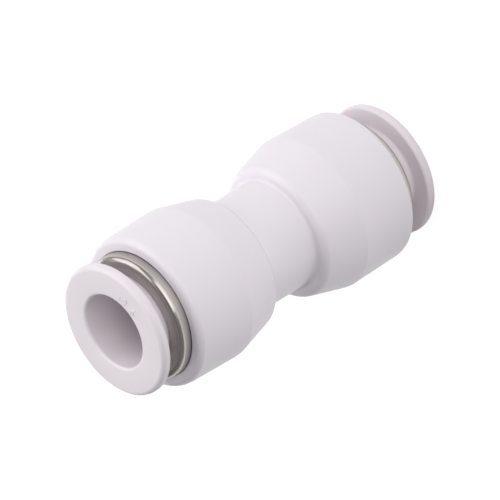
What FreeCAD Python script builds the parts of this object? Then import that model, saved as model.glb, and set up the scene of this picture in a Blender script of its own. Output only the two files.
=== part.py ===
"""Straight push-in union for 6 mm tube, in millimetres: its axis is Z, and its centre is the origin."""

import FreeCAD, Part
import math
import os

from FreeCAD import Vector

# Tube that the union takes, and the play round it
tube_dia = 6.0
collar_bore_play = 0.06
seat_bore_play = 0.03
backup_bore_play = 0.15
tube_bite = 0.10
seal_squeeze = 0.10

# Small gaps between pieces
running_gap = 0.08
seating_gap = 0.02
stop_gap = 0.05

# How far a cutting shape runs past what it cuts
cut_margin = 1.0

# Release collar
collar_wall = 0.71
flange_width = 1.68
flange_thickness = 0.85
flange_front_round = 0.40
flange_back_round = 0.25
flange_root_round = 0.25
collar_lead_in = 0.25
collar_travel = 1.20
barb_height = 0.55
barb_rim = 0.20
barb_catch = 0.35
nose_play = 0.35
nose_tip_wall = 0.34
nose_tip_round = 0.12
snap_slot_count = 4
snap_slot_turn = 45.0
snap_slot_width = 0.80
snap_slot_reach = 0.80

# Guide ring pressed into the mouth of the body
guide_wall = 1.23
guide_seat_depth = 2.90
bead_height = 1.05
bead_overhang = 0.14
bead_round = 0.51
bead_lip_round = 0.30
barb_room = 0.15
guide_foot_round = 0.15

# Lock claw, a stamped ring with bent fingers
claw_thickness = 0.30
claw_ledge = 0.20
claw_plate_width = 0.58
finger_count = 10
finger_angle = 35.0
finger_slit_width = 0.35

# Backup ring under the claw
finger_flex_room = 0.15
bend_flex_room = 0.25
backup_land = 0.35

# Lip seal
seal_ledge = 0.30
seal_length = 2.40
seal_lip_width = 0.40
seal_leg_width = 0.63
seal_groove_depth = 1.30
seal_lip_setback = 0.25
seal_lead_in = 0.80
seal_round = 0.12

# Body
seat_length = 3.27
stop_thickness = 1.50
flow_bore_dia = 4.40
body_wall = 1.17
barrel_draft = 0.13
barrel_length = 5.32
waist_wall = 1.47
waist_length = 5.00
shoulder_height = 0.94
body_end_round = 0.54
cone_edge_round = 0.80
shoulder_round = 0.70
waist_fillet = 0.25
mouth_chamfer = 0.20
seat_lead_in = 0.30
stop_edge_round = 0.15

# Radii, from the tube outwards and then back in through the stack
tube_r = tube_dia / 2
collar_bore_r = tube_r + collar_bore_play
neck_r = collar_bore_r + collar_wall
flange_r = neck_r + flange_width
guide_bore_r = neck_r + running_gap
guide_r = guide_bore_r + guide_wall
bead_r = guide_r + bead_overhang
barb_r = guide_bore_r + barb_catch
barb_room_r = barb_r + barb_room
mouth_r = guide_r + seating_gap
body_end_r = mouth_r + body_wall
barrel_r = body_end_r + barrel_draft
claw_r = guide_r - claw_ledge
claw_seat_r = claw_r + seating_gap
finger_root_r = claw_r - claw_plate_width
finger_tip_r = tube_r - tube_bite
nose_r = finger_root_r - nose_play
nose_tip_r = collar_bore_r + nose_tip_wall
backup_bore_r = tube_r + backup_bore_play
seal_r = claw_r - seal_ledge
seal_seat_r = seal_r + seating_gap
seal_lip_r = tube_r - seal_squeeze
seat_bore_r = tube_r + seat_bore_play
flow_bore_r = flow_bore_dia / 2
waist_r = seat_bore_r + waist_wall
shoulder_r = waist_r + shoulder_height

# The claw's bend, the drop of its fingers at their tips, and their drop under the collar's nose
finger_slope = math.radians(finger_angle)
bend_run = claw_thickness * math.tan(finger_slope / 2)
finger_drop = (finger_root_r - finger_tip_r) * math.tan(finger_slope)
nose_drop = (finger_root_r - nose_tip_r) * math.tan(finger_slope)

# Heights of the upper half, from the middle of the union to its collar's face
stop_z = stop_thickness / 2
seal_floor_z = stop_z + seat_length
backup_floor_z = seal_floor_z + seal_length
hollow_floor_z = backup_floor_z + backup_land
guide_floor_z = hollow_floor_z + collar_travel + nose_drop
claw_floor_z = guide_floor_z - claw_thickness
body_end_z = guide_floor_z + guide_seat_depth
cone_edge_z = body_end_z - barrel_length
bead_top_z = body_end_z + bead_height
flange_back_z = bead_top_z + stop_gap + collar_travel
face_z = flange_back_z + flange_thickness
barb_foot_z = guide_floor_z + stop_gap + collar_travel
barb_top_z = barb_foot_z + barb_height
undercut_top_z = barb_top_z + stop_gap
nose_tip_z = guide_floor_z - nose_drop + stop_gap
waist_end_z = waist_length / 2


def section(corners):
    """Closed face in the XZ plane through (radius, height) corners; a third value rounds that corner."""
    tangents = []
    arcs = []
    for i, corner in enumerate(corners):
        here = Vector(corner[0], 0, corner[1])
        if len(corner) == 2:
            tangents.append((here, here))
            arcs.append(None)
            continue
        rounding = corner[2]
        before = corners[i - 1]
        after = corners[(i + 1) % len(corners)]
        back = (Vector(before[0], 0, before[1]) - here).normalize()
        ahead = (Vector(after[0], 0, after[1]) - here).normalize()
        half_angle = back.getAngle(ahead) / 2
        reach = rounding / math.tan(half_angle)
        bisector = (back + ahead).normalize()
        middle = here + bisector * (rounding / math.sin(half_angle) - rounding)
        start = here + back * reach
        end = here + ahead * reach
        tangents.append((start, end))
        arcs.append(Part.Arc(start, middle, end).toShape())
    edges = []
    for i, (start, end) in enumerate(tangents):
        if arcs[i]:
            edges.append(arcs[i])
        next_start = tangents[(i + 1) % len(tangents)][0]
        if end.distanceToPoint(next_start) > 1e-6:
            edges.append(Part.makeLine(end, next_start))
    return Part.Face(Part.Wire(edges))


def turned(corners):
    """Solid of revolution about Z."""
    return section(corners).revolve(Vector(0, 0, 0), Vector(0, 0, 1), 360)


def round_the_axis(tool, count, first_angle=0):
    """Copies of a tool, evenly spaced about Z from the first one's angle in degrees, as one shape."""
    copies = []
    for i in range(count):
        copy = tool.copy()
        copy.rotate(Vector(0, 0, 0), Vector(0, 0, 1), first_angle + 360 * i / count)
        copies.append(copy)
    return copies[0].multiFuse(copies[1:])


def body():
    """One moulding: two drafted barrels with conical backs, a waist, and a stepped socket in each end."""
    upper = [
        (waist_r, waist_end_z, waist_fillet),
        (shoulder_r, waist_end_z, shoulder_round),
        (barrel_r, cone_edge_z, cone_edge_round),
        (body_end_r, body_end_z, body_end_round),
        (mouth_r + mouth_chamfer, body_end_z),
        (mouth_r, body_end_z - mouth_chamfer),
        (mouth_r, guide_floor_z),
        (claw_seat_r, guide_floor_z),
        (claw_seat_r, backup_floor_z),
        (seal_seat_r, backup_floor_z),
        (seal_seat_r, seal_floor_z),
        (seat_bore_r + seat_lead_in, seal_floor_z),
        (seat_bore_r, seal_floor_z - seat_lead_in),
        (seat_bore_r, stop_z),
        (flow_bore_r, stop_z, stop_edge_round),
    ]
    lower = [(corner[0], -corner[1], *corner[2:]) for corner in reversed(upper)]
    return turned(upper + lower)


def release_collar():
    """Flanged sleeve whose slotted skirt snaps behind the guide ring and whose nose opens the claw."""
    sleeve = turned([
        (collar_bore_r, nose_tip_z),
        (nose_tip_r, nose_tip_z, nose_tip_round),
        (nose_r, barb_foot_z),
        (barb_r, barb_top_z - barb_rim),
        (barb_r, barb_top_z),
        (neck_r, barb_top_z),
        (neck_r, flange_back_z, flange_root_round),
        (flange_r, flange_back_z, flange_back_round),
        (flange_r, face_z, flange_front_round),
        (collar_bore_r, face_z, collar_lead_in),
    ])
    slot_foot_z = nose_tip_z - cut_margin
    slot_top_z = barb_top_z + snap_slot_reach
    reach = barb_r + cut_margin
    foot = Vector(0, -snap_slot_width / 2, slot_foot_z)
    slot = Part.makeBox(reach, snap_slot_width, slot_top_z - slot_foot_z, foot)
    slot_end = Part.makeCylinder(snap_slot_width / 2, reach, Vector(0, 0, slot_top_z), Vector(1, 0, 0))
    return sleeve.cut(round_the_axis(slot.fuse(slot_end), snap_slot_count, snap_slot_turn))


def guide_ring():
    """Plated sleeve with a rounded bead outside the body and an undercut that traps the collar's barbs."""
    return turned([
        (barb_room_r, guide_floor_z),
        (guide_r, guide_floor_z, guide_foot_round),
        (guide_r, body_end_z),
        (bead_r, body_end_z),
        (bead_r, bead_top_z, bead_round),
        (guide_bore_r, bead_top_z, bead_lip_round),
        (guide_bore_r, undercut_top_z),
        (barb_room_r, undercut_top_z),
    ])


def lock_claw():
    """Stamped spring-steel ring: a clamped plate with fingers bent inwards and down, split by slits."""
    tip_top_z = guide_floor_z - finger_drop
    tip_foot_z = tip_top_z - claw_thickness / math.cos(finger_slope)
    ring = turned([
        (claw_r, claw_floor_z),
        (claw_r, guide_floor_z),
        (finger_root_r, guide_floor_z),
        (finger_tip_r, tip_top_z),
        (finger_tip_r, tip_foot_z),
        (finger_root_r + bend_run, claw_floor_z),
    ])
    slit_foot_z = tip_foot_z - cut_margin
    slit_height = guide_floor_z + cut_margin - slit_foot_z
    foot = Vector(0, -finger_slit_width / 2, slit_foot_z)
    slit = Part.makeBox(finger_root_r, finger_slit_width, slit_height, foot)
    slit_end = Part.makeCylinder(finger_slit_width / 2, slit_height, Vector(finger_root_r, 0, slit_foot_z))
    return ring.cut(round_the_axis(slit.fuse(slit_end), finger_count))


def backup_ring():
    """Plastic ring that holds the claw's plate and gives its fingers a conical hollow to bend into."""
    return turned([
        (backup_bore_r, backup_floor_z),
        (claw_r, backup_floor_z),
        (claw_r, claw_floor_z),
        (finger_root_r + bend_flex_room, claw_floor_z),
        (nose_tip_r + claw_thickness + finger_flex_room, hollow_floor_z),
        (backup_bore_r, hollow_floor_z),
    ])


def seal_ring():
    """Rubber lip seal: its lip grips the tube, and the groove behind it faces the pressure."""
    top_z = backup_floor_z
    lip_foot_z = seal_floor_z + seal_lip_setback
    groove_z = seal_floor_z + seal_groove_depth
    groove_middle_r = (seal_lip_r + seal_lip_width + seal_r - seal_leg_width) / 2
    return turned([
        (seal_r, seal_floor_z, seal_round),
        (seal_r, top_z, seal_round),
        (seal_lip_r + seal_lead_in, top_z, seal_round),
        (seal_lip_r, top_z - seal_lead_in, seal_round),
        (seal_lip_r, lip_foot_z, seal_round),
        (seal_lip_r + seal_lip_width, lip_foot_z, seal_round),
        (groove_middle_r, groove_z, seal_round),
        (seal_r - seal_leg_width, seal_floor_z, seal_round),
    ])


def upside_down(solid):
    """The same piece fitted in the other end."""
    turned_over = solid.copy()
    turned_over.rotate(Vector(0, 0, 0), Vector(1, 0, 0), 180)
    return turned_over


def main():
    os.makedirs("parts", exist_ok=True)
    body().exportStep("parts/body.step")
    fitted_in_each_end = {
        "release_collar": release_collar(),
        "guide_ring": guide_ring(),
        "lock_claw": lock_claw(),
        "backup_ring": backup_ring(),
        "seal_ring": seal_ring(),
    }
    for name, solid in fitted_in_each_end.items():
        solid.exportStep(f"parts/upper_{name}.step")
        upside_down(solid).exportStep(f"parts/lower_{name}.step")


main()
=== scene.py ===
import math

import bmesh
import bpy
from mathutils import Matrix, Vector


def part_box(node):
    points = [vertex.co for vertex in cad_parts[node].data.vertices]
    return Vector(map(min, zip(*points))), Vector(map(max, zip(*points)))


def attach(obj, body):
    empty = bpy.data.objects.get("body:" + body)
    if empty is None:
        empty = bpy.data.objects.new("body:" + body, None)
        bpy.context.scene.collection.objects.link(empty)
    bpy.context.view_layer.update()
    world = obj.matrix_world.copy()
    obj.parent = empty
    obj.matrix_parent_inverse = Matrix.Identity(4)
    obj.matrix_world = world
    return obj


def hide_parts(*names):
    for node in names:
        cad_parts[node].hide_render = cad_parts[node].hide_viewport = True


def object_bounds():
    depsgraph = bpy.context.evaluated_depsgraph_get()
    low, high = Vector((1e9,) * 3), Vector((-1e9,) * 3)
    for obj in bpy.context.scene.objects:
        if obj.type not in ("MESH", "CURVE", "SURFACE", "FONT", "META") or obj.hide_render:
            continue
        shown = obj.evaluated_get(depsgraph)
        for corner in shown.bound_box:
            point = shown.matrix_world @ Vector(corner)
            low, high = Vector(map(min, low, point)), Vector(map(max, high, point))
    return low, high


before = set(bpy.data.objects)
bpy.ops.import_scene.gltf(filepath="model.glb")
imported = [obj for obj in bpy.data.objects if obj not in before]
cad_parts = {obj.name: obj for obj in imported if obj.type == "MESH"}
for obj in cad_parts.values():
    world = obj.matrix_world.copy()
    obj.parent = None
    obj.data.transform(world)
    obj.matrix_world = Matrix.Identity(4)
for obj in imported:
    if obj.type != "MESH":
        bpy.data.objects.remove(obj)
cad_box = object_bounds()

# Body
# One injection moulding in white PBT, with a stepped socket for a tube in each end. Its two half
# moulds meet on a plane through the axis, which leaves a fine raised line along both sides, and
# the plastic runs in at the back of the waist, where the cut-off gate leaves a small round mark.

mm = 0.001
points_around = 192
tolerance = 0.001
corner_tolerance = 0.003
small_rounding = 0.2
round_steps = 8
smooth_angle = math.radians(40)
seating_gap = 0.02
bead_overhang = 0.14
guide_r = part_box("upper_guide_ring")[1].x / mm - bead_overhang
guide_foot_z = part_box("upper_guide_ring")[0].z / mm
claw_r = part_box("upper_lock_claw")[1].x / mm
backup_foot_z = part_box("upper_backup_ring")[0].z / mm
seal_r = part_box("upper_seal_ring")[1].x / mm
seal_foot_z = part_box("upper_seal_ring")[0].z / mm

barrel_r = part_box("body")[1].x / mm
body_end_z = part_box("body")[1].z / mm
barrel_length = 5.32
barrel_draft = 0.13
body_end_round = 0.54
cone_edge_round = 0.8
mouth_r = guide_r + seating_gap
mouth_chamfer = 0.2
waist_r = 4.5
waist_end_z = 2.5
waist_fillet = 0.25
shoulder_r = 5.44
shoulder_round = 0.7
tube_seat_r = 3.03
seat_lead_in = 0.3
stop_z = 0.75
stop_edge_round = 0.15
flow_bore_r = 2.2


def select_ring(piece, radius, height):
    """Selects the ring of corners, and its edges, at a radius and height in millimetres."""
    bpy.ops.mesh.select_all(action="DESELECT")
    mesh = bmesh.from_edit_mesh(piece.data)
    for corner in mesh.verts:
        off_radius = math.hypot(corner.co.x, corner.co.y) - radius * mm
        off_height = corner.co.z - height * mm
        corner.select = math.hypot(off_radius, off_height) < corner_tolerance * mm
    mesh.select_flush(True)
    bmesh.update_edit_mesh(piece.data)


def turned(name, outline):
    """A closed ring about Z, drawn out of a circle from corner to corner of its outline, then rounded.

    Each corner is (radius, height) or (radius, height, radius of its rounding), in millimetres, and a
    small rounding gets half as many faces.
    """
    bpy.ops.object.select_all(action="DESELECT")
    radius, height = outline[0][:2]
    bpy.ops.mesh.primitive_circle_add(
        vertices=points_around,
        radius=radius * mm,
        location=(0, 0, height * mm),
    )
    piece = bpy.context.object
    piece.name = name
    bpy.ops.object.transform_apply(location=True, rotation=True, scale=True)
    bpy.ops.object.mode_set(mode="EDIT")
    bpy.ops.mesh.select_all(action="SELECT")
    for corner in (*outline[1:], outline[0]):
        rise = (0, 0, (corner[1] - height) * mm)
        bpy.ops.mesh.extrude_region_move(TRANSFORM_OT_translate={"value": rise})
        growth = corner[0] / radius
        bpy.ops.transform.resize(value=(growth, growth, 1), center_override=(0, 0, corner[1] * mm))
        radius, height = corner[:2]
    bpy.ops.mesh.select_all(action="SELECT")
    bpy.ops.mesh.remove_doubles(threshold=tolerance * mm)
    for i, corner in enumerate(outline):
        if len(corner) == 2:
            continue
        here = Vector(corner[:2])
        back = Vector(outline[i - 1][:2]) - here
        ahead = Vector(outline[(i + 1) % len(outline)][:2]) - here
        reach = corner[2] / math.tan(back.angle(ahead) / 2)
        select_ring(piece, *corner[:2])
        steps = round_steps // 2 if corner[2] < small_rounding else round_steps
        bpy.ops.mesh.bevel(offset=reach * mm, segments=steps, profile=0.5)
    bpy.ops.mesh.select_all(action="SELECT")
    bpy.ops.mesh.normals_make_consistent(inside=False)
    bpy.ops.object.mode_set(mode="OBJECT")
    return piece


def cut_with(piece, tool):
    """Cuts a closed tool's shape out of a piece, and throws the tool away."""
    bpy.ops.object.select_all(action="DESELECT")
    piece.select_set(True)
    bpy.context.view_layer.objects.active = piece
    cut = piece.modifiers.new("cut", "BOOLEAN")
    cut.operation = "DIFFERENCE"
    cut.solver = "EXACT"
    cut.object = tool
    bpy.ops.object.modifier_apply(modifier=cut.name)
    bpy.data.objects.remove(tool)


def finish(piece, material, slot, body, *nodes):
    """Smooths a finished piece, gives it its material and body, and puts it in its solids' place."""
    bpy.ops.object.select_all(action="DESELECT")
    piece.select_set(True)
    bpy.context.view_layer.objects.active = piece
    bpy.ops.object.shade_smooth_by_angle(angle=smooth_angle)
    normals = piece.modifiers.new("normals", "WEIGHTED_NORMAL")
    normals.keep_sharp = True
    bpy.ops.object.modifier_apply(modifier=normals.name)
    piece.data.materials.clear()
    piece.data.materials.append(material)
    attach(piece, body)
    if nodes:
        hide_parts(*nodes)


def linear(colour):
    """An sRGB hex colour as linear red, green and blue, with an alpha of one."""
    channels = [int(colour[i:i + 2], 16) / 255 for i in (1, 3, 5)]
    return [c / 12.92 if c <= 0.04045 else ((c + 0.055) / 1.055) ** 2.4 for c in channels] + [1]


def add(material, kind, inputs, **settings):
    """Adds a shader node to a material or world; an input is a value, or a node's output to link."""
    new = material.node_tree.nodes.new(kind)
    for name, value in settings.items():
        setattr(new, name, value)
    for name, value in inputs.items():
        if isinstance(value, bpy.types.NodeSocket):
            material.node_tree.links.new(value, new.inputs[name])
        else:
            new.inputs[name].default_value = value
    return new


def empty_material(name):
    """A new material with no nodes in it yet."""
    material = bpy.data.materials.new(name)
    material.use_nodes = True
    material.node_tree.nodes.clear()
    return material


# Moulded PBT with a satin skin: an opaque, faintly lilac white with soft, broad highlights and
# the shallow orange peel that the flow of the melt leaves.
flow_width = 6
peel_width = 0.35
peel_depth = 0.004
pbt = empty_material("moulded_white_pbt")
place = add(pbt, "ShaderNodeTexCoord", {}).outputs["Object"]
flow = add(pbt, "ShaderNodeTexNoise", {
    "Vector": place,
    "Scale": 1 / (flow_width * mm),
    "Detail": 3,
}).outputs["Fac"]
tint = add(pbt, "ShaderNodeMix", {
    "Factor": flow,
    "A": linear("#EBE5EB"),
    "B": linear("#E8E1E9"),
}, data_type="RGBA").outputs["Result"]
peel = add(pbt, "ShaderNodeTexNoise", {
    "Vector": place,
    "Scale": 1 / (peel_width * mm),
    "Detail": 2,
}).outputs["Fac"]
gloss = add(pbt, "ShaderNodeMapRange", {
    "Value": flow,
    "To Min": 0.34,
    "To Max": 0.42,
}).outputs["Result"]
bumps = add(pbt, "ShaderNodeBump", {
    "Height": peel,
    "Strength": 0.25,
    "Distance": peel_depth * mm,
}).outputs["Normal"]
skin = add(pbt, "ShaderNodeBsdfPrincipled", {
    "Base Color": tint,
    "Roughness": gloss,
    "IOR": 1.5,
    "Normal": bumps,
})
add(pbt, "ShaderNodeOutputMaterial", {"Surface": skin.outputs["BSDF"]})

upper_half = [
    (waist_r, waist_end_z, waist_fillet),
    (shoulder_r, waist_end_z, shoulder_round),
    (barrel_r, body_end_z - barrel_length, cone_edge_round),
    (barrel_r - barrel_draft, body_end_z, body_end_round),
    (mouth_r + mouth_chamfer, body_end_z),
    (mouth_r, body_end_z - mouth_chamfer),
    (mouth_r, guide_foot_z),
    (claw_r + seating_gap, guide_foot_z),
    (claw_r + seating_gap, backup_foot_z),
    (seal_r + seating_gap, backup_foot_z),
    (seal_r + seating_gap, seal_foot_z),
    (tube_seat_r + seat_lead_in, seal_foot_z),
    (tube_seat_r, seal_foot_z - seat_lead_in),
    (tube_seat_r, stop_z),
    (flow_bore_r, stop_z, stop_edge_round),
]
lower_half = [(corner[0], -corner[1], *corner[2:]) for corner in reversed(upper_half)]
body = turned("white_body", upper_half + lower_half)

parting_width = 0.12
parting_rise = 0.02
parting_margin = 0.05
parting_end_z = body_end_z - body_end_round + parting_margin
waist_reach_z = waist_end_z + shoulder_round
waist_skin_r = waist_r - waist_fillet
bpy.ops.object.mode_set(mode="EDIT")
bpy.ops.mesh.select_all(action="DESELECT")
mesh = bmesh.from_edit_mesh(body.data)


def on_parting_line(corner):
    """Whether a corner lies on the outside of the body, on the plane where the half moulds meet."""
    radius = math.hypot(corner.co.x, corner.co.y) / mm
    height = abs(corner.co.z) / mm
    skin_r = waist_skin_r if height < waist_reach_z else mouth_r + mouth_chamfer
    on_plane = abs(corner.co.y) < tolerance * mm
    return on_plane and radius > skin_r and height < parting_end_z


for edge in mesh.edges:
    edge.select = on_parting_line(edge.verts[0]) and on_parting_line(edge.verts[1])
bmesh.update_edit_mesh(body.data)
bpy.ops.mesh.bevel(offset=parting_width / 2 * mm, segments=2, profile=0.5)
bpy.ops.mesh.select_all(action="DESELECT")
mesh = bmesh.from_edit_mesh(body.data)
for corner in mesh.verts:
    corner.select = on_parting_line(corner)
bmesh.update_edit_mesh(body.data)
growth = 1 + parting_rise / barrel_r
bpy.ops.transform.resize(value=(growth, 1, 1), center_override=(0, 0, 0))
bpy.ops.object.mode_set(mode="OBJECT")

gate_points = 48
gate_r = 0.6
gate_depth = 0.1
gate_stub_r = 0.28
bpy.ops.object.select_all(action="DESELECT")
bpy.ops.mesh.primitive_cylinder_add(
    vertices=gate_points,
    radius=gate_r * mm,
    depth=2 * gate_depth * mm,
    location=(0, waist_r * mm, 0),
    rotation=(math.radians(90), 0, 0),
)
gate = bpy.context.object
bpy.ops.object.transform_apply(location=True, rotation=True, scale=True)
bpy.ops.object.mode_set(mode="EDIT")
bpy.ops.mesh.select_all(action="DESELECT")
mesh = bmesh.from_edit_mesh(gate.data)
for face in mesh.faces:
    face.select = face.calc_center_median().y < (waist_r - gate_depth / 2) * mm
bmesh.update_edit_mesh(gate.data)
bpy.ops.mesh.inset(thickness=(gate_r - gate_stub_r) * mm)
bpy.ops.transform.translate(value=(0, gate_depth * mm, 0))
bpy.ops.object.mode_set(mode="OBJECT")
cut_with(body, gate)
finish(body, pbt, "body_plastic", "union", "body")

# Seal rings
# One against the inner shoulder of each socket: a lip seal moulded in black nitrile rubber. Its lip
# grips the tube, and the groove behind the lip opens towards the pressure.

# Nitrile rubber: a near black with a dull, slightly uneven sheen.
bloom_width = 1.5
rubber_grain = 0.08
rubber_depth = 0.006
nitrile = empty_material("moulded_black_nitrile")
place = add(nitrile, "ShaderNodeTexCoord", {}).outputs["Object"]
bloom = add(nitrile, "ShaderNodeTexNoise", {
    "Vector": place,
    "Scale": 1 / (bloom_width * mm),
    "Detail": 4,
}).outputs["Fac"]
tint = add(nitrile, "ShaderNodeMix", {
    "Factor": bloom,
    "A": linear("#1C1C1D"),
    "B": linear("#2A2A2B"),
}, data_type="RGBA").outputs["Result"]
gloss = add(nitrile, "ShaderNodeMapRange", {
    "Value": bloom,
    "To Min": 0.48,
    "To Max": 0.62,
}).outputs["Result"]
grain = add(nitrile, "ShaderNodeTexNoise", {
    "Vector": place,
    "Scale": 1 / (rubber_grain * mm),
    "Detail": 2,
}).outputs["Fac"]
bumps = add(nitrile, "ShaderNodeBump", {
    "Height": grain,
    "Strength": 0.3,
    "Distance": rubber_depth * mm,
}).outputs["Normal"]
skin = add(nitrile, "ShaderNodeBsdfPrincipled", {
    "Base Color": tint,
    "Roughness": gloss,
    "IOR": 1.52,
    "Normal": bumps,
})
add(nitrile, "ShaderNodeOutputMaterial", {"Surface": skin.outputs["BSDF"]})

seal_lip_r = 2.9
seal_lip_width = 0.4
seal_lip_setback = 0.25
seal_leg_width = 0.63
seal_groove_depth = 1.3
seal_lead_in = 0.8
seal_round = 0.12
groove_middle_r = (seal_lip_r + seal_lip_width + seal_r - seal_leg_width) / 2
upper_seal = turned("upper_rubber_seal", [
    (seal_r, seal_foot_z, seal_round),
    (seal_r, backup_foot_z, seal_round),
    (seal_lip_r + seal_lead_in, backup_foot_z, seal_round),
    (seal_lip_r, backup_foot_z - seal_lead_in, seal_round),
    (seal_lip_r, seal_foot_z + seal_lip_setback, seal_round),
    (seal_lip_r + seal_lip_width, seal_foot_z + seal_lip_setback, seal_round),
    (groove_middle_r, seal_foot_z + seal_groove_depth, seal_round),
    (seal_r - seal_leg_width, seal_foot_z, seal_round),
])


def turned_over(piece, name):
    """A copy of a piece for the other end, with its own mesh."""
    other = piece.copy()
    other.data = piece.data.copy()
    other.name = name
    bpy.context.collection.objects.link(other)
    bpy.ops.object.select_all(action="DESELECT")
    other.select_set(True)
    bpy.context.view_layer.objects.active = other
    other.rotation_euler.x = math.pi
    bpy.ops.object.transform_apply(location=True, rotation=True, scale=True)
    return other


lower_seal = turned_over(upper_seal, "lower_rubber_seal")
finish(upper_seal, nitrile, "seal_rubber", "union", "upper_seal_ring")
finish(lower_seal, nitrile, "seal_rubber", "union", "lower_seal_ring")

# Backup rings
# One between each seal and its claw: a ring moulded in natural acetal, which carries the claw's
# plate and leaves its fingers a conical hollow to bend into.

# Natural acetal: a milky, slightly warm white with a waxy sheen.
cloud_width = 2
natural_acetal = empty_material("moulded_natural_acetal")
place = add(natural_acetal, "ShaderNodeTexCoord", {}).outputs["Object"]
flow = add(natural_acetal, "ShaderNodeTexNoise", {
    "Vector": place,
    "Scale": 1 / (cloud_width * mm),
    "Detail": 2,
}).outputs["Fac"]
tint = add(natural_acetal, "ShaderNodeMix", {
    "Factor": flow,
    "A": linear("#E4E1DA"),
    "B": linear("#DDD9D1"),
}, data_type="RGBA").outputs["Result"]
gloss = add(natural_acetal, "ShaderNodeMapRange", {
    "Value": flow,
    "To Min": 0.32,
    "To Max": 0.40,
}).outputs["Result"]
skin = add(natural_acetal, "ShaderNodeBsdfPrincipled", {
    "Base Color": tint,
    "Roughness": gloss,
    "IOR": 1.48,
})
add(natural_acetal, "ShaderNodeOutputMaterial", {"Surface": skin.outputs["BSDF"]})

backup_bore_r = 3.15
backup_top_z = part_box("upper_backup_ring")[1].z / mm
backup_land = 0.35
hollow_foot_r = 3.85
hollow_top_r = 4.55
upper_backup = turned("upper_acetal_ring", [
    (backup_bore_r, backup_foot_z),
    (claw_r, backup_foot_z),
    (claw_r, backup_top_z),
    (hollow_top_r, backup_top_z),
    (hollow_foot_r, backup_foot_z + backup_land),
    (backup_bore_r, backup_foot_z + backup_land),
])
lower_backup = turned_over(upper_backup, "lower_acetal_ring")
finish(upper_backup, natural_acetal, "backup_plastic", "union", "upper_backup_ring")
finish(lower_backup, natural_acetal, "backup_plastic", "union", "lower_backup_ring")

# Lock claws
# One clamped under each guide ring: a ring stamped from spring stainless strip, slit into ten
# fingers that are bent inwards to bite the tube.

# Rolled stainless strip: a cool grey with the fine grain of rolling and a soft shine.
grain_length = 0.9
grain_width = 0.03
grain_depth = 0.003
stainless = empty_material("rolled_stainless_strip")
place = add(stainless, "ShaderNodeTexCoord", {}).outputs["Object"]
along = add(stainless, "ShaderNodeMapping", {
    "Vector": place,
    "Scale": [1 / (size * mm) for size in (grain_length, grain_width, grain_length)],
}).outputs["Vector"]
rolling = add(stainless, "ShaderNodeTexNoise", {
    "Vector": along,
    "Scale": 1,
    "Detail": 3,
}).outputs["Fac"]
gloss = add(stainless, "ShaderNodeMapRange", {
    "Value": rolling,
    "To Min": 0.24,
    "To Max": 0.38,
}).outputs["Result"]
bumps = add(stainless, "ShaderNodeBump", {
    "Height": rolling,
    "Strength": 0.2,
    "Distance": grain_depth * mm,
}).outputs["Normal"]
strip = add(stainless, "ShaderNodeBsdfPrincipled", {
    "Base Color": linear("#B9B9BC"),
    "Metallic": 1,
    "Roughness": gloss,
    "Normal": bumps,
})
add(stainless, "ShaderNodeOutputMaterial", {"Surface": strip.outputs["BSDF"]})

claw_foot_z = backup_top_z
claw_thickness = guide_foot_z - claw_foot_z
finger_count = 10
finger_angle = math.radians(35)
finger_slit = 0.35
finger_root_r = 4.3
finger_tip_r = 2.9
slot_overshoot = 0.5
slot_end_steps = 10
nearly_half = 0.499
tip_top_z = guide_foot_z - (finger_root_r - finger_tip_r) * math.tan(finger_angle)
tip_foot_z = tip_top_z - claw_thickness / math.cos(finger_angle)
upper_claw = turned("upper_steel_claw", [
    (claw_r, claw_foot_z),
    (claw_r, guide_foot_z),
    (finger_root_r, guide_foot_z),
    (finger_tip_r, tip_top_z),
    (finger_tip_r, tip_foot_z),
    (finger_root_r + claw_thickness * math.tan(finger_angle / 2), claw_foot_z),
])


def cut_slots(piece, low, high, end, count, first_angle=0):
    """Cuts slots with one round end through a piece, evenly spaced round the axis.

    low and high are the corners, in millimetres, of a slot that crosses +X and is then turned to the
    first angle. They reach past the piece where the slot is open. Its round end is the outer one
    where end is 0, and the top one where end is 2.
    """
    low = Vector(low) * mm
    high = Vector(high) * mm
    bpy.ops.object.select_all(action="DESELECT")
    bpy.ops.mesh.primitive_cube_add(size=1, location=(low + high) / 2, scale=high - low)
    tool = bpy.context.object
    bpy.ops.object.transform_apply(location=True, rotation=True, scale=True)
    bpy.ops.object.mode_set(mode="EDIT")
    bpy.ops.mesh.select_all(action="DESELECT")
    mesh = bmesh.from_edit_mesh(tool.data)
    for edge in mesh.edges:
        near, far = edge.verts
        at_end = min(near.co[end], far.co[end]) > high[end] - tolerance * mm
        edge.select = at_end and abs(near.co.y - far.co.y) < tolerance * mm
    bmesh.update_edit_mesh(tool.data)
    bpy.ops.mesh.bevel(offset=nearly_half * (high.y - low.y), segments=slot_end_steps, profile=0.5)
    bpy.ops.mesh.select_all(action="SELECT")
    bpy.ops.transform.rotate(value=-first_angle, orient_axis="Z", center_override=(0, 0, 0))
    bpy.ops.mesh.spin(
        steps=count - 1,
        dupli=True,
        angle=2 * math.pi / count * (count - 1),
        center=(0, 0, 0),
        axis=(0, 0, 1),
    )
    bpy.ops.object.mode_set(mode="OBJECT")
    cut_with(piece, tool)


slit_low = (finger_tip_r - slot_overshoot, -finger_slit / 2, tip_foot_z - slot_overshoot)
slit_high = (finger_root_r + finger_slit / 2, finger_slit / 2, guide_foot_z + slot_overshoot)
cut_slots(upper_claw, slit_low, slit_high, 0, finger_count)
lower_claw = turned_over(upper_claw, "lower_steel_claw")
finish(upper_claw, stainless, "spring_steel", "union", "upper_lock_claw")
finish(lower_claw, stainless, "spring_steel", "union", "lower_lock_claw")

# Guide rings
# One in each mouth of the body: turned brass, nickel plated and pressed in, with a rounded bead
# outside the body that the collar's flange stops against, and an undercut that traps its barbs.

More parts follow.
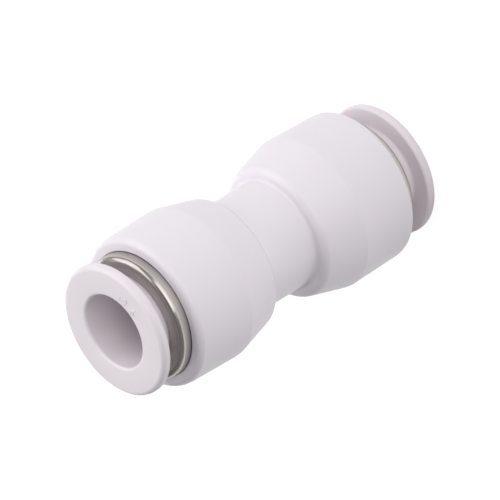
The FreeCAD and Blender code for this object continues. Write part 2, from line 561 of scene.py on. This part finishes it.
# Nickel plate on turned brass: a warm light grey. The fine rings that the lathe leaves are dull on
# their tops and bright between them, so each reflection has a soft edge.
ring_spacing = 0.12
ring_depth = 0.002
nickel = empty_material("bright_nickel_plate")
place = add(nickel, "ShaderNodeTexCoord", {}).outputs["Object"]
turning = add(nickel, "ShaderNodeTexWave", {
    "Vector": place,
    "Scale": 1 / (ring_spacing * mm),
    "Distortion": 0.3,
    "Detail": 2,
}, wave_type="RINGS", rings_direction="Z").outputs["Fac"]
gloss = add(nickel, "ShaderNodeMapRange", {
    "Value": turning,
    "To Min": 0.1,
    "To Max": 0.5,
}).outputs["Result"]
bumps = add(nickel, "ShaderNodeBump", {
    "Height": turning,
    "Strength": 0.15,
    "Distance": ring_depth * mm,
}).outputs["Normal"]
plate = add(nickel, "ShaderNodeBsdfPrincipled", {
    "Base Color": linear("#B5AFAC"),
    "Metallic": 1,
    "Roughness": gloss,
    "Normal": bumps,
})
add(nickel, "ShaderNodeOutputMaterial", {"Surface": plate.outputs["BSDF"]})

guide_bore_r = 3.85
guide_foot_round = 0.15
bead_round = 0.51
bead_lip_round = 0.3
bead_top_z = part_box("upper_guide_ring")[1].z / mm
undercut_r = 4.35
undercut_top_z = 10.45
upper_guide = turned("upper_nickel_ring", [
    (undercut_r, guide_foot_z),
    (guide_r, guide_foot_z, guide_foot_round),
    (guide_r, body_end_z),
    (guide_r + bead_overhang, body_end_z),
    (guide_r + bead_overhang, bead_top_z, bead_round),
    (guide_bore_r, bead_top_z, bead_lip_round),
    (guide_bore_r, undercut_top_z),
    (undercut_r, undercut_top_z),
])
lower_guide = turned_over(upper_guide, "lower_nickel_ring")
finish(upper_guide, nickel, "plated_brass", "union", "upper_guide_ring")
finish(lower_guide, nickel, "plated_brass", "union", "lower_guide_ring")

# Release collars
# One in each end: a flanged sleeve moulded in white acetal. Four slots let its barbed nose snap in
# behind the guide ring, and pushed in, the nose opens the claw.

# White acetal: a soft, faintly lilac white, a little waxier and duller than the body.
drift_width = 3
skin_grain = 0.15
skin_depth = 0.003
acetal = empty_material("moulded_white_acetal")
place = add(acetal, "ShaderNodeTexCoord", {}).outputs["Object"]
flow = add(acetal, "ShaderNodeTexNoise", {
    "Vector": place,
    "Scale": 1 / (drift_width * mm),
    "Detail": 2,
}).outputs["Fac"]
tint = add(acetal, "ShaderNodeMix", {
    "Factor": flow,
    "A": linear("#EBE3E8"),
    "B": linear("#E8E0E6"),
}, data_type="RGBA").outputs["Result"]
gloss = add(acetal, "ShaderNodeMapRange", {
    "Value": flow,
    "To Min": 0.40,
    "To Max": 0.48,
}).outputs["Result"]
grain = add(acetal, "ShaderNodeTexNoise", {
    "Vector": place,
    "Scale": 1 / (skin_grain * mm),
    "Detail": 2,
}).outputs["Fac"]
bumps = add(acetal, "ShaderNodeBump", {
    "Height": grain,
    "Strength": 0.2,
    "Distance": skin_depth * mm,
}).outputs["Normal"]
skin = add(acetal, "ShaderNodeBsdfPrincipled", {
    "Base Color": tint,
    "Roughness": gloss,
    "IOR": 1.48,
    "Normal": bumps,
})
add(acetal, "ShaderNodeOutputMaterial", {"Surface": skin.outputs["BSDF"]})

collar_bore_r = 3.06
collar_lead_in = 0.25
neck_r = 3.77
flange_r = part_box("upper_release_collar")[1].x / mm
face_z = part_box("upper_release_collar")[1].z / mm
flange_thickness = 0.85
flange_front_round = 0.4
flange_back_round = 0.25
flange_root_round = 0.25
nose_tip_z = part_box("upper_release_collar")[0].z / mm
nose_tip_r = 3.4
nose_tip_round = 0.12
nose_r = 3.95
barb_r = 4.2
barb_foot_z = 9.85
barb_rim_z = 10.2
barb_top_z = 10.4
snap_slot_width = 0.8
snap_slot_top_z = 11.6
snap_slot_count = 4
snap_slot_turn = math.radians(45)
upper_collar = turned("upper_white_collar", [
    (collar_bore_r, nose_tip_z),
    (nose_tip_r, nose_tip_z, nose_tip_round),
    (nose_r, barb_foot_z),
    (barb_r, barb_rim_z),
    (barb_r, barb_top_z),
    (neck_r, barb_top_z),
    (neck_r, face_z - flange_thickness, flange_root_round),
    (flange_r, face_z - flange_thickness, flange_back_round),
    (flange_r, face_z, flange_front_round),
    (collar_bore_r, face_z, collar_lead_in),
])
slot_low = (collar_bore_r - slot_overshoot, -snap_slot_width / 2, nose_tip_z - slot_overshoot)
slot_high = (barb_r + slot_overshoot, snap_slot_width / 2, snap_slot_top_z)
cut_slots(upper_collar, slot_low, slot_high, 2, snap_slot_count, snap_slot_turn)
lower_collar = turned_over(upper_collar, "lower_white_collar")
finish(upper_collar, acetal, "collar_plastic", "upper_collar", "upper_release_collar")
finish(lower_collar, acetal, "collar_plastic", "lower_collar", "lower_release_collar")

# Size mark
# The diameter of the tube that fits, as a sign and a number on the face of the upper collar. They
# are acetal too, raised in one with the collar from letters cut into its mould.

mark_height = 0.78
mark_depth = 0.08
mark_edge = 0.015
mark_edge_steps = 2
# The height of a capital, as a share of the size of its font.
capital_share = 0.7


def raise_mark(name, character, mark_r, around):
    """Raises a character out of the upper collar's face, at an angle round it, its top outwards."""
    bpy.ops.object.select_all(action="DESELECT")
    bpy.ops.object.text_add(location=(0, 0, 0))
    mark = bpy.context.object
    mark.name = name
    mark.data.body = character
    mark.data.align_x = "CENTER"
    mark.data.align_y = "CENTER"
    mark.data.size = mark_height * mm / capital_share
    mark.data.extrude = mark_depth / 2 * mm
    mark.data.bevel_depth = mark_edge * mm
    mark.data.bevel_resolution = mark_edge_steps
    bpy.ops.object.convert(target="MESH")
    angle = math.radians(around)
    mark.location = (mark_r * math.cos(angle) * mm, mark_r * math.sin(angle) * mm, face_z * mm)
    mark.rotation_euler.z = math.radians(around - 90)
    bpy.ops.object.transform_apply(location=True, rotation=True, scale=True)
    finish(mark, acetal, "collar_plastic", "upper_collar")


raise_mark("size_mark_sign", "Ø", mark_r=3.75, around=-64)
raise_mark("size_mark_number", "6", mark_r=3.65, around=-82)

# Studio
# The camera looks from the photograph's side, rolled so that the standing part lies slantwise. Four
# softboxes light it, from the picture's left, above its back, its front and low behind it, and a dim
# white wall at the lower right. The floor is white paper, whose white the metal shows too.

tilt = math.radians(33.8)
slant = math.radians(31.25)
camera_distance = 0.6
sensor = 36
picture_width = 500
pixels_per_mm = 13.12
lens = pixels_per_mm / mm * camera_distance / picture_width * sensor
centre_px = Vector((251.45, 248.2))
frame_middle_px = Vector((picture_width / 2, picture_width / 2))

back = Vector((0, -math.cos(tilt), math.sin(tilt)))
up = Vector((0, math.sin(tilt), math.cos(tilt)))
side = Vector((1, 0, 0))
right = -math.sin(slant) * side - math.cos(slant) * up
above = math.cos(slant) * side - math.sin(slant) * up
offset = (centre_px - frame_middle_px) / pixels_per_mm * mm
camera_data = bpy.data.cameras.new("camera")
camera_data.lens = lens
camera_data.sensor_width = sensor
camera_data.clip_start = 0.01
camera_data.clip_end = 10
camera = bpy.data.objects.new("camera", camera_data)
bpy.context.collection.objects.link(camera)
camera.matrix_world = Matrix((
    (right.x, above.x, back.x, 0),
    (right.y, above.y, back.y, 0),
    (right.z, above.z, back.z, 0),
    (0, 0, 0, 1),
))
camera.location = back * camera_distance - right * offset.x + above * offset.y
bpy.context.scene.camera = camera

floor_width = 4
floor_gap = 0.01
floor_z = cad_box[0].z - floor_gap * mm
bpy.ops.object.select_all(action="DESELECT")
bpy.ops.mesh.primitive_plane_add(size=floor_width, location=(0, 0, floor_z))
floor = bpy.context.object
floor.name = "floor"

# White paper: plain white where it is seen, straight or in the metal, with the union's shadow on it,
# and as pale as paper where it lights the union.
paper_glow = 0.85
paper = empty_material("white_paper")
rays = add(paper, "ShaderNodeLightPath", {}).outputs
mirrored = add(paper, "ShaderNodeMath", {
    0: rays["Is Glossy Ray"],
    1: rays["Is Transmission Ray"],
}, operation="MAXIMUM").outputs["Value"]
seen = add(paper, "ShaderNodeMath", {
    0: rays["Is Camera Ray"],
    1: mirrored,
}, operation="MAXIMUM").outputs["Value"]
tone = add(paper, "ShaderNodeMix", {
    "Factor": seen,
    "A": linear("#E4E4E4"),
    "B": linear("#A0A0A0"),
}, data_type="RGBA").outputs["Result"]
matt = add(paper, "ShaderNodeBsdfDiffuse", {"Color": tone}).outputs["BSDF"]
white = add(paper, "ShaderNodeMath", {
    0: seen,
    1: paper_glow,
}, operation="MULTIPLY").outputs["Value"]
glow = add(paper, "ShaderNodeEmission", {"Strength": white}).outputs["Emission"]
both = add(paper, "ShaderNodeAddShader", {0: matt, 1: glow}).outputs["Shader"]
add(paper, "ShaderNodeOutputMaterial", {"Surface": both})
floor.data.materials.append(paper)

world = bpy.context.scene.world or bpy.data.worlds.new("world")
bpy.context.scene.world = world
world.use_nodes = True
surround = world.node_tree.nodes["Background"]
surround.inputs["Color"].default_value = linear("#FFFFFF")
sky = add(world, "ShaderNodeTexCoord", {}).outputs["Generated"]
across = add(world, "ShaderNodeSeparateXYZ", {"Vector": sky}).outputs["X"]
wall = add(world, "ShaderNodeMapRange", {
    "Value": across,
    "From Min": -0.1,
    "From Max": -0.8,
    "To Min": 0.12,
    "To Max": 0.25,
}).outputs["Result"]
world.node_tree.links.new(wall, surround.inputs["Strength"])
lamp_distance = 0.4


def softbox(name, direction, width, height, power):
    """A soft light that faces the part from a direction, with its width level."""
    light = bpy.data.lights.new(name, "AREA")
    light.shape = "RECTANGLE"
    light.size = width
    light.size_y = height
    light.energy = power
    lamp = bpy.data.objects.new(name, light)
    bpy.context.collection.objects.link(lamp)
    lamp.location = direction.normalized() * lamp_distance
    lamp.rotation_euler = direction.to_track_quat("Z", "Y").to_euler()


softbox("left", Vector((0.72, 0.12, 0.68)), width=0.4, height=0.4, power=1.09)
softbox("back", Vector((0.1, 0.5, 0.86)), width=0.3, height=0.3, power=0.42)
softbox("front", Vector((0.1, -0.93, 0.34)), width=0.4, height=0.3, power=0.93)
softbox("rear", Vector((0.2, 0.96, 0.13)), width=0.4, height=0.12, power=0.4)

bpy.context.scene.view_settings.view_transform = "Standard"
